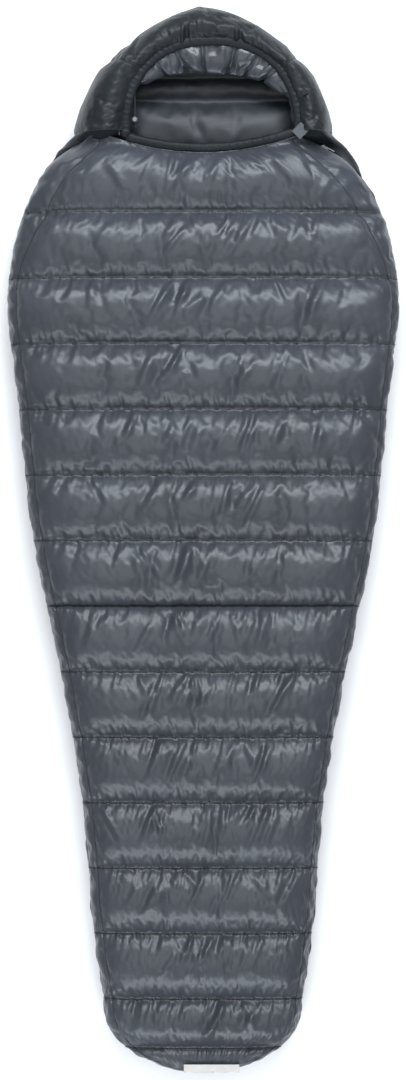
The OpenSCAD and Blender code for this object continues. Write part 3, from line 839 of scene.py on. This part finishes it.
def build_lip():
    columns, rows = 128, 34
    ts = np.linspace(math.radians(3), math.radians(177), columns + 1)
    seam_cols = radial_seams(ts, [math.radians(a) for a in LIP_SEAM_ANGLES])
    grid = []
    for j, t in enumerate(ts):
        p = face_edge(t)
        inward = (FACE_AT + [0, 0.02] - p)
        inward = inward / np.linalg.norm(inward)
        tight = 0.60 if j in seam_cols else 1.0
        reach = lip_reach(t) * tight
        away = LOCK_ROOM * float(smoothstep((math.degrees(t) - LOCK_ANGLE) / 8))
        side = [[-0.006 - 0.4 * away, 0.121], [reach * 0.5 - away, 0.119 - 0.006 * (tight < 1)],
                [reach - away, 0.102], [reach * 0.7 - away, 0.084 + 0.006 * (tight < 1)],
                [0.002 - away, 0.076], [-0.018, 0.060], [-0.030, 0.036]]
        line = np.array([[*(p + inward * d), z] for d, z in side])
        grid.append(resample(smooth_line(line), rows + 1))
    grid = np.array(grid).transpose(1, 0, 2)
    pinned = np.zeros(grid.shape[:2], bool)
    pinned[[0, -1]] = True
    pinned[:, [0, -1]] = True
    pinned[:, seam_cols] = True
    low_row = int(rows * 0.60)
    pinned[low_row] = True
    obj = sheet("hood_lip", grid, flip=True)
    puff_cloth(obj, pinned, pressure=5.0, slack=0.10, bending=0.25)
    smooth(obj, 2)
    subdivide(obj)
    return dress(obj, LINER_CLOTH)


floor_seams = []
FLOOR_ROWS = [NECK_Y + 0.006, 0.851, 0.893, 0.982]    # Y of the front edge, the two seams, the back edge
FLOOR_SEAM_DEPTH = 0.012


def build_hood_floor():
    grid, on_seam = [], []
    spans = list(zip(FLOOR_ROWS, FLOOR_ROWS[1:]))
    for k, (a, b) in enumerate(spans):
        n = round((b - a) / 0.005)
        for i in range(n + (k == len(spans) - 1)):
            y = a + (b - a) * i / n
            v = max(y - FACE_AT[1], 0) / (FACE_LEN + 0.030)
            w = (FACE_W + 0.026) * (1 - min(v, 0.985)**2.2)**(1 / 2.2)
            s = np.linspace(-1, 1, 161)
            z = 0.044 + 0.012 * arch(s) + 0.010 * smoothstep((0.80 - y) / 0.06)
            line = np.stack([FACE_AT[0] + s * w, np.full_like(s, y), z], axis=1)
            grid.append(resample(line, 73))
            on_seam.append(i == 0 or i == n)
    riser = grid[0] - [0, 0.002, 0]
    riser[:, 2] = LINER_FLOOR_Z
    grid.insert(0, riser)
    on_seam.insert(0, True)
    grid = np.array(grid)[::-1]
    on_seam = np.array(on_seam)[::-1]
    pinned = np.zeros(grid.shape[:2], bool)
    pinned[on_seam] = True
    pinned[:, [0, -1]] = True
    inner_seams = np.nonzero(on_seam)[0][1:-2]
    grid[inner_seams, 1:-1, 2] -= FLOOR_SEAM_DEPTH
    floor_seams.extend(grid[j, 4:-4] for j in inner_seams)
    obj = sheet("hood_floor", grid)
    puff_cloth(obj, pinned, pressure=4.0, slack=0.025, bending=0.5, jitter=0.0002)
    smooth(obj, 4)
    subdivide(obj)
    # the floor is dressed in the liner cloth with painted shade
    return dress(obj, LINER_CLOTH_PAINTED_SHADE)


def build_hood_back():
    """Flat cloth under the head, from the nape to the inside of the hood's underside."""
    ts = np.linspace(0, math.pi, 61)
    edge = np.array([hood_profile(float(t), [[0.82, 0.0012]])[0] for t in ts])
    centre = np.array([0, NAPE_Y + 0.004, 0.0012])
    rings = [mix(centre, edge, r) for r in np.linspace(0.02, 1, 16)]
    grid = np.array(rings)
    grid[:, :, 2] = 0.0010 + 0.0012 * ripple(grid[:, :, 0] + grid[:, :, 1] * 0.6, (0.05, 0.08))
    grid[:, :, 2] = np.clip(grid[:, :, 2], 0.0004, 0.003)
    obj = sheet("hood_back", grid)
    subdivide(obj)
    return dress(obj, BOTTOM_CLOTH)


hood_outer = build_hood()
hood_lip = build_lip()
hood_floor = build_hood_floor()
hood_back = build_hood_back()


# ---- gathered bands and tubes ----

def gathered_band(name, path, half_wide, half_high, material, gather=0.0012, step=0.0016, around=26):
    """Tube of gathered cloth along a path, flattened, with ripples that run across it."""
    path = resample(np.array(path, float), max(8, int(length_of(path) / step)))
    n = len(path)
    tangent = np.gradient(path, axis=0)
    tangent /= np.linalg.norm(tangent, axis=1)[:, None]
    side = np.cross(tangent, [0, 0, 1.0])
    side /= np.linalg.norm(side, axis=1)[:, None]
    up = np.cross(side, tangent)
    length = np.r_[0, np.cumsum(np.linalg.norm(np.diff(path, axis=0), axis=1))]
    angle = np.linspace(0, 2 * math.pi, around, endpoint=False)
    wave_a = ripple(length, (0.0095, 0.013, 0.019))
    wave_b = ripple(length, (0.008, 0.0125, 0.023))
    width = 1 + 0.06 * ripple(length, (0.03, 0.055))
    taper = np.sqrt(np.clip(np.minimum(length, length[-1] - length) / 0.008, 0.02, 1))
    c, s = np.cos(angle), np.sin(angle)
    body = np.sign(s) * np.abs(s)**0.8
    lift = np.outer(wave_a, np.clip(s, 0, 1)) + np.outer(wave_b, np.clip(-s, 0, 1))
    skew = np.outer(wave_b, 0.5 * c)
    across = (half_wide * width * taper)[:, None] * c[None, :] + gather * skew
    height = (half_high * taper)[:, None] * body[None, :] + gather * lift * np.abs(s)[None, :]
    grid = path[:, None] + side[:, None] * across[..., None] + up[:, None] * height[..., None]
    return dress(make_mesh(name, grid.reshape(-1, 3), ring_faces(0, n, around)), material)


def offset_path(t0, t1, outward, z, drop=0.0):
    """Path round the face opening, moved outward, that dips by `drop` at its two ends."""
    ts = np.radians(np.linspace(t0, t1, 260))
    p = face_edge(ts)
    d = np.gradient(p, axis=0)
    d /= np.linalg.norm(d, axis=1)[:, None]
    normal = np.stack([d[:, 1], -d[:, 0]], axis=1)
    q = p + normal * outward
    ends = smoothstep(1 - np.minimum(ts - ts[0], ts[-1] - ts) / 0.35)
    return np.column_stack([q, z - drop * ends])


hood_rim = gathered_band("hood_rim", offset_path(-3, 183, 0.0045, RIM_Z, 0.003), 0.0105, 0.0062,
                         BINDING, 0.0008)
hood_rim_edge = gathered_band("hood_rim_edge", offset_path(-2, 182, 0.0155, RIM_Z + 0.001, 0.003),
                              0.0016, 0.0016, PIPING, 0.0003, around=10)

floor_bindings = [gathered_band(f"hood_floor_binding_{k}", line + [0, 0, 0.002], 0.0040, 0.0024, BINDING,
                                0.0006, around=12) for k, line in enumerate(floor_seams)]

tunnel_low, tunnel_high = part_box("neck_rim_tunnel")
NECK_RIM_Z = (tunnel_low.z + tunnel_high.z) / 2
xs = np.linspace(-0.150, 0.178, 120)
neck_line = np.column_stack([xs, neck_edge(xs) + 0.009, np.full_like(xs, NECK_RIM_Z)])
neck_rim = gathered_band("neck_rim", neck_line, 0.0086, 0.0058, BINDING, 0.0008)
edge_line = neck_line + np.column_stack([xs * 0, xs * 0 - 0.0095, xs * 0 - 0.001])
neck_piping = gathered_band("neck_piping", edge_line, 0.0013, 0.0013, PIPING, 0.0002, around=10)

collar_low, collar_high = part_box("draft_collar")
cx = np.linspace(collar_low.x, collar_high.x, 60)
collar_line = np.column_stack([cx, (collar_low.y + collar_high.y) / 2 - 0.004 + 0.5 * (cx - 0.017)**2,
                               np.full_like(cx, (collar_low.z + collar_high.z) / 2)])
draft_collar = gathered_band("draft_collar_soft", collar_line, 0.019, 0.0145, LINER_CLOTH,
                             0.0022, step=0.003)
tube_low, tube_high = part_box("draft_tube")
turn_in = np.array([-math.cos(ZIP_LEAN), math.sin(ZIP_LEAN)])
foot_dir = -run[:2]
tube_len = (tube_high.y - tube_low.y - 0.004) / math.cos(ZIP_LEAN)
tube_start = ZIP_TURN + 0.050 * turn_in
tube_line = np.array([[*(tube_start + foot_dir * d), (tube_low.z + tube_high.z) / 2]
                      for d in np.linspace(0.004, tube_len - 0.004, 80)])
draft_tube = gathered_band("draft_tube_soft", tube_line, 0.0135, 0.0132, LINER_CLOTH,
                           0.0016, step=0.004)


# ---- zip coils ----

COIL_WIRE = 0.00052      # radius of the wire
COIL_PITCH = 0.0021
COIL_STEP = math.radians(6.2)         # the flap's coil starts this much later than the bag's
COIL_LOOP = [(-1.25, 3.3), (-1.35, 1.9), (-0.7, 1.25), (0.7, 1.25), (1.35, 1.9), (1.25, 3.3)]    # mm


def zip_points(angle_to, side_len):
    """Places along the zip with the outward direction at each, from the neck end to the foot end."""
    out = []
    d = 0.0
    bend_len = BEND_R * (angle_to + ZIP_LEAN)
    while d < bend_len + side_len:
        if d < bend_len:
            a = angle_to - d / BEND_R
            n = np.array([math.cos(a), math.sin(a)])
            out.append((BEND_AT[:2] + BEND_R * n, n))
        else:
            n = np.array([math.cos(ZIP_LEAN), -math.sin(ZIP_LEAN)])
            out.append((ZIP_TURN + foot_dir * (d - bend_len), n))
        d += COIL_PITCH
    return out


def build_coil(name, angle_to, side_len, side):
    """One half of a coil zip: a row of wire loops that face the other half."""
    verts, faces = [], []
    for at, n in zip_points(angle_to, side_len):
        along = np.array([-n[1], n[0]])
        base = len(verts)
        for i, (a, b) in enumerate(COIL_LOOP):
            p = np.array([*(at + n * a * 0.001), SEAM_Z + side * b * 0.001])
            p[:2] += along * 0.00035 * (i - 2.5) / 2.5
            q = COIL_LOOP[min(i + 1, len(COIL_LOOP) - 1)]
            r = COIL_LOOP[max(i - 1, 0)]
            t = np.array([*(n * (q[0] - r[0])), side * (q[1] - r[1])])
            t /= np.linalg.norm(t)
            u = np.array([*along, 0.0])
            v = np.cross(t, u)
            for k in range(5):
                w = 2 * math.pi * k / 5
                verts.append(p + COIL_WIRE * (math.cos(w) * u + math.sin(w) * v))
        faces += ring_faces(base, len(COIL_LOOP), 5)
    return dress(make_mesh(name, verts, faces), COIL)


def flap_zip_end():
    """Length of the flap's side run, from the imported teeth."""
    low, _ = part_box("zip_teeth_flap")
    return (ZIP_TURN[1] - low.y - 0.001) / math.cos(ZIP_LEAN)


coil_bag = build_coil("zip_coil_bag", ZIP_NECK_ANGLE, ZIP_SIDE_LEN, -1)
coil_flap = build_coil("zip_coil_flap", ZIP_NECK_ANGLE - COIL_STEP, flap_zip_end(), 1)


# ---- stitches ----

def build_stitches(name, lines, length=0.0040, pitch=0.0050, r=0.0009, lift=0.0004):
    """Dashes of thread along the lines, each one thinner where it enters the cloth. Because they are thick,
    dark and close together, they also paint the shade in each seam's crease.
    """
    verts, faces = [], []
    for line in lines:
        total = length_of(line)
        if total < 0.02:
            continue
        pts = resample(line, int(total / pitch) * 2 + 1)
        for i in range(0, len(pts) - 2, 2):
            a, b = pts[i].copy(), pts[i + 1].copy()
            d = b - a
            d *= length / max(np.linalg.norm(d), 1e-6)
            b = a + d
            t = d / np.linalg.norm(d)
            u = np.cross(t, [0, 0, 1.0])
            u /= max(np.linalg.norm(u), 1e-6)
            v = np.cross(u, t)
            a[2] += lift
            b[2] += lift
            base = len(verts)
            for f, k in ((0.0, 0.5), (0.25, 1.0), (0.75, 1.0), (1.0, 0.5)):
                p = a + (b - a) * f
                for m in range(5):
                    w = 2 * math.pi * m / 5
                    verts.append(p + r * k * (math.cos(w) * u + math.sin(w) * v))
            faces += ring_faces(base, 4, 5)
    return dress(make_mesh(name, verts, faces), THREAD_AND_SEAM_SHADE)


# Painted shade: the top stitching also stands in for the shade in the quilt's seam creases.
top_stitches_and_seam_shade = build_stitches("top_stitching_and_seam_shade", stitch_lines)
hood_stitches = build_stitches("hood_stitching", hood_stitch_lines)


# ---- small sewn pieces ----

def build_label():
    low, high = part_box("foot_label")
    columns, rows = 36, 10
    xs = np.linspace(low.x, high.x, columns + 1)
    wave = ripple(xs, (0.018, 0.03, 0.05))
    grid = []
    for j in range(rows + 1):
        v = j / rows
        y = mix(high.y, low.y, v) + 0.0014 * wave * v
        z = mix(high.z, low.z, v) + 0.0020 + 0.0018 * wave * math.sin(math.pi * v)
        grid.append(np.stack([xs, y * np.ones_like(xs), z], axis=1))
    obj = sheet("foot_label_soft", np.array(grid))
    solidify = obj.modifiers.new("thickness", "SOLIDIFY")
    solidify.thickness = 0.0006
    apply_modifier(obj, "thickness")
    subdivide(obj)
    return dress(obj, LABEL_CLOTH)


foot_label = build_label()


def soften(obj, width):
    """Rounds the edges of a hard CAD node without changing its mesh."""
    weld = obj.modifiers.new("weld", "WELD")
    weld.merge_threshold = 0.00001
    bevel = obj.modifiers.new("bevel", "BEVEL")
    bevel.width = width
    bevel.segments = 2
    bevel.limit_method = "ANGLE"
    bevel.angle_limit = math.radians(35)


def finish_node(name, material, bevel=0.0):
    obj = nodes[name]
    obj.data.materials.clear()
    obj.data.materials.append(material)
    if bevel:
        soften(obj, bevel)


for name in ("upper_slider", "lower_slider", "upper_slider_pull", "lower_slider_pull", "zip_top_stop"):
    finish_node(name, DARK_METAL, 0.00035)
for name in ("zip_retainer_box", "zip_insertion_pin"):
    finish_node(name, PLASTIC, 0.0004)
for name in ("hood_cord_lock", "collar_cord_lock"):
    finish_node(name, PLASTIC, 0.0006)
for name in ("hood_cord_lock_button", "collar_cord_lock_button"):
    finish_node(name, BRIGHT_METAL, 0.0003)
for name in ("hood_cord_lock_spring", "collar_cord_lock_spring"):
    finish_node(name, SPRING_STEEL)
for name in ("zip_tape_bag", "zip_tape_flap"):
    finish_node(name, TAPE)
for name in ("hood_drawcord", "collar_drawcord"):
    finish_node(name, CORD)
finish_node("closure_tab", TAB_CLOTH, 0.0005)
finish_node("closure_patch", HOOK_CLOTH, 0.0003)
finish_node("foot_hang_loops", WEBBING, 0.0005)
finish_node("rim_label", BINDING, 0.0002)

# ---- bodies ----

for piece in (top_upper, top_lower, top_liner, top_stitches_and_seam_shade):
    blend_fold(piece)
for piece in (bottom_liner, bottom_quilt, hood_outer, hood_lip, hood_floor, hood_back, hood_rim,
              hood_rim_edge, coil_bag, foot_label, hood_stitches, *floor_bindings):
    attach(piece, "bag")
for piece in (neck_rim, neck_piping, draft_collar, draft_tube, coil_flap):
    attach(piece, "flap")

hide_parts("side_top_shell", "side_top_down_fill", "side_top_baffles",
            "flap_top_shell", "flap_top_down_fill", "flap_top_baffles")
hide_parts("side_top_liner", "flap_top_liner")
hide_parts("bottom_shell", "bottom_down_fill", "bottom_baffles")
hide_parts("bottom_liner")
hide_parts("hood_shell", "hood_down_fill")
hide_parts("hood_lip_chambers", "hood_liner")
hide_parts("hood_back_liner", "hood_back_down_fill")
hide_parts("hood_back_shell")
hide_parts("hood_rim_tunnel")
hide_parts("neck_rim_tunnel")
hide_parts("draft_collar")
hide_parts("draft_tube")
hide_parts("zip_teeth_bag")
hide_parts("zip_teeth_flap")
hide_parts("foot_label")

# ---- floor, light, camera ----

floor_mat, _, floor_bsdf = new_material("studio_floor")
floor_bsdf.inputs["Base Color"].default_value = (0.86, 0.86, 0.86, 1)
floor_bsdf.inputs["Roughness"].default_value = 0.9
FLOOR_CORNERS = [(-8, -8, 0), (8, -8, 0), (8, 8, 0), (-8, 8, 0)]
floor = make_mesh("studio_floor", FLOOR_CORNERS, [(0, 1, 2, 3)], smooth=False)
floor.data.materials.append(floor_mat)

HORIZON_LIGHT = 0.20
OVERHEAD_LIGHT = 0.62
SKY_SEEN = 0.85          # brightness where the camera sees the sky itself


def sky():
    """Pale where it is seen directly. As a light it is bright overhead and dim at the horizon."""
    world = bpy.data.worlds.new("studio")
    bpy.context.scene.world = world
    world.use_nodes = True
    tree = world.node_tree
    back = tree.nodes["Background"]
    coord = add(tree, "ShaderNodeTexCoord")
    split = add(tree, "ShaderNodeSeparateXYZ")
    tree.links.new(coord.outputs["Generated"], split.inputs["Vector"])
    ramp = add(tree, "ShaderNodeMapRange", **{"From Min": 0.15, "From Max": 0.85,
                                              "To Min": HORIZON_LIGHT, "To Max": OVERHEAD_LIGHT})
    tree.links.new(split.outputs["Z"], ramp.inputs["Value"])
    path = add(tree, "ShaderNodeLightPath")
    choose = add(tree, "ShaderNodeMix", data_type="FLOAT")
    tree.links.new(path.outputs["Is Camera Ray"], choose.inputs[0])
    tree.links.new(ramp.outputs["Result"], choose.inputs[2])
    choose.inputs[3].default_value = SKY_SEEN
    tree.links.new(choose.outputs[0], back.inputs["Strength"])
    back.inputs["Color"].default_value = (0.97, 0.98, 1.0, 1)


sky()


def softbox(name, at, aim, size, energy, colour=(1, 1, 1)):
    light = bpy.data.lights.new(name, "AREA")
    light.shape = "RECTANGLE"
    light.size, light.size_y = size
    light.energy = energy
    light.color = colour
    obj = link(name, light)
    obj.location = at
    obj.rotation_euler = (Vector(aim) - Vector(at)).to_track_quat("-Z", "Y").to_euler()


softbox("head_light", (0.3, 2.4, 2.4), (0, 0.1, 0.1), (3.0, 0.9), 145, (0.88, 0.94, 1.0))
softbox("foot_light", (-0.3, -2.8, 1.6), (0, -0.3, 0.1), (3.2, 0.6), 75, (0.86, 0.93, 1.0))
softbox("overhead", (0, 0, 3.4), (0, 0, 0), (2.5, 2.5), 30)

PHOTO_HEIGHT = 1080 * 0.001934    # metres of ground in the frame's long side
CAMERA_AT = 6.0
camera = bpy.data.cameras.new("camera")
camera.sensor_width = 36
camera.lens = 36 * CAMERA_AT / PHOTO_HEIGHT
camera_obj = link("camera", camera)
camera_obj.location = (0, 0, CAMERA_AT + SEAM_Z)
bpy.context.scene.camera = camera_obj
bpy.context.scene.view_settings.view_transform = "Standard"
